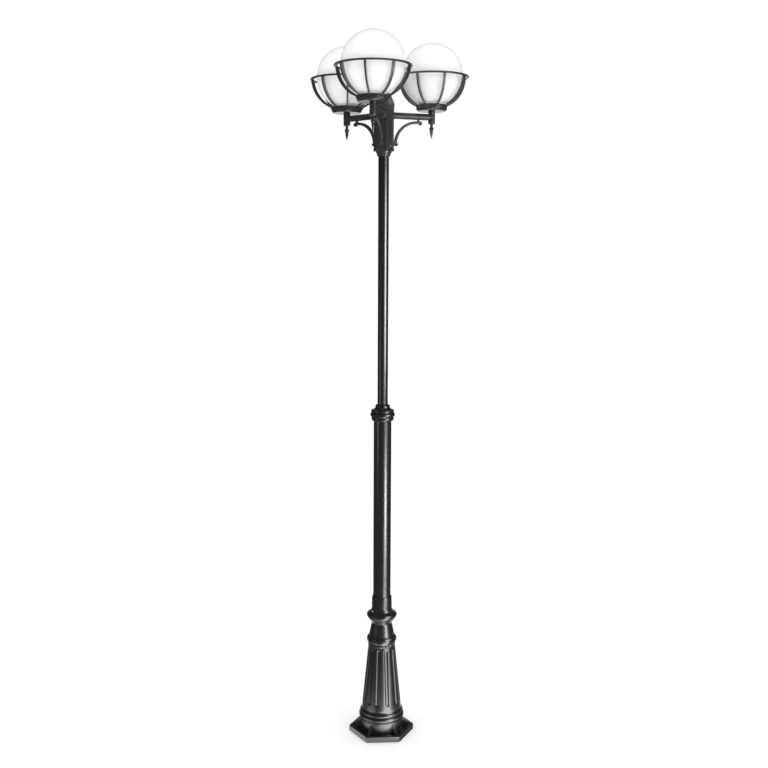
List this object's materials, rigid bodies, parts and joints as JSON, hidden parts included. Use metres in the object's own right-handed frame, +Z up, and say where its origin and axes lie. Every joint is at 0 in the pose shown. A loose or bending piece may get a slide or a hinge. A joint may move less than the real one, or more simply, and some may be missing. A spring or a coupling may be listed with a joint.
{
  "type": "triple head lamp post",
  "caption": "Tall garden lamp post: fluted cast base on a hexagonal foot, stepped tube, and globes in ribbed baskets on arms round a hexagonal hub.",
  "frame": {"origin": "centre of the underside of the hexagonal foot, on the axis of the post", "axes": "+Z up the post; +X points at one corner of the foot, and the heads stand at 15, 135 and 255 degrees from +X"},
  "size_m": [0.5181, 0.5181, 2.336],
  "materials": {
    "cast_paint": "cast metal with a satin charcoal powder coat",
    "tube_paint": "drawn tube with a satin charcoal powder coat",
    "screw_paint": "small screws coated like the cup",
    "stainless": "bare stainless screw heads",
    "plated_steel": "zinc-plated thread and nuts",
    "opal_globe": "white opal acrylic, smooth",
    "gasket_rubber": "black foam rubber",
    "holder_ceramic": "white glazed lampholder",
    "bulb_metal": "thin bright screw cap",
    "bulb_opal": "frosted white bulb",
    "terminal_plastic": "moulded connector block"
  },
  "bodies": {
    "post": {"base_casting": "cast_paint", "base_set_screws": "stainless", "lower_tube": "tube_paint", "mid_collar": "cast_paint", "upper_tube": "tube_paint", "hub_body": "cast_paint", "hub_set_screws": "stainless", "cap_stud": "plated_steel", "connector_block": "terminal_plastic", "arm_lock_nuts": "plated_steel", "right_arm": "tube_paint", "right_scroll_bracket": "cast_paint", "right_stem": "cast_paint", "right_drop_finial": "cast_paint", "right_globe_cup": "cast_paint", "right_basket": "cast_paint", "right_gasket": "gasket_rubber", "right_cup_screws": "screw_paint", "right_nipple": "plated_steel", "right_holder_nut": "plated_steel", "right_lampholder": "holder_ceramic", "left_arm": "tube_paint", "left_scroll_bracket": "cast_paint", "left_stem": "cast_paint", "left_drop_finial": "cast_paint", "left_globe_cup": "cast_paint", "left_basket": "cast_paint", "left_gasket": "gasket_rubber", "left_cup_screws": "screw_paint", "left_nipple": "plated_steel", "left_holder_nut": "plated_steel", "left_lampholder": "holder_ceramic", "front_arm": "tube_paint", "front_scroll_bracket": "cast_paint", "front_stem": "cast_paint", "front_drop_finial": "cast_paint", "front_globe_cup": "cast_paint", "front_basket": "cast_paint", "front_gasket": "gasket_rubber", "front_cup_screws": "screw_paint", "front_nipple": "plated_steel", "front_holder_nut": "plated_steel", "front_lampholder": "holder_ceramic"},
    "cap": {"hub_cap": "cast_paint", "cap_finial": "cast_paint"},
    "right_globe_body": {"right_globe": "opal_globe"},
    "right_bulb_body": {"right_bulb_cap": "bulb_metal", "right_bulb_glass": "bulb_opal"},
    "left_globe_body": {"left_globe": "opal_globe"},
    "left_bulb_body": {"left_bulb_cap": "bulb_metal", "left_bulb_glass": "bulb_opal"},
    "front_globe_body": {"front_globe": "opal_globe"},
    "front_bulb_body": {"front_bulb_cap": "bulb_metal", "front_bulb_glass": "bulb_opal"}
  },
  "joints": [
    {"name": "cap_lift", "type": "slide", "parent": "post", "child": "cap", "axis": [0, 0, 1], "range_m": [0, 0.085]},
    {"name": "right_globe_lift", "type": "slide", "parent": "post", "child": "right_globe_body", "axis": [0, 0, 1], "range_m": [0, 0.12]},
    {"name": "right_bulb_lift", "type": "slide", "parent": "post", "child": "right_bulb_body", "axis": [0, 0, 1], "range_m": [0, 0.026]},
    {"name": "left_globe_lift", "type": "slide", "parent": "post", "child": "left_globe_body", "axis": [0, 0, 1], "range_m": [0, 0.12]},
    {"name": "left_bulb_lift", "type": "slide", "parent": "post", "child": "left_bulb_body", "axis": [0, 0, 1], "range_m": [0, 0.026]},
    {"name": "front_globe_lift", "type": "slide", "parent": "post", "child": "front_globe_body", "axis": [0, 0, 1], "range_m": [0, 0.12]},
    {"name": "front_bulb_lift", "type": "slide", "parent": "post", "child": "front_bulb_body", "axis": [0, 0, 1], "range_m": [0, 0.026]}
  ]
}
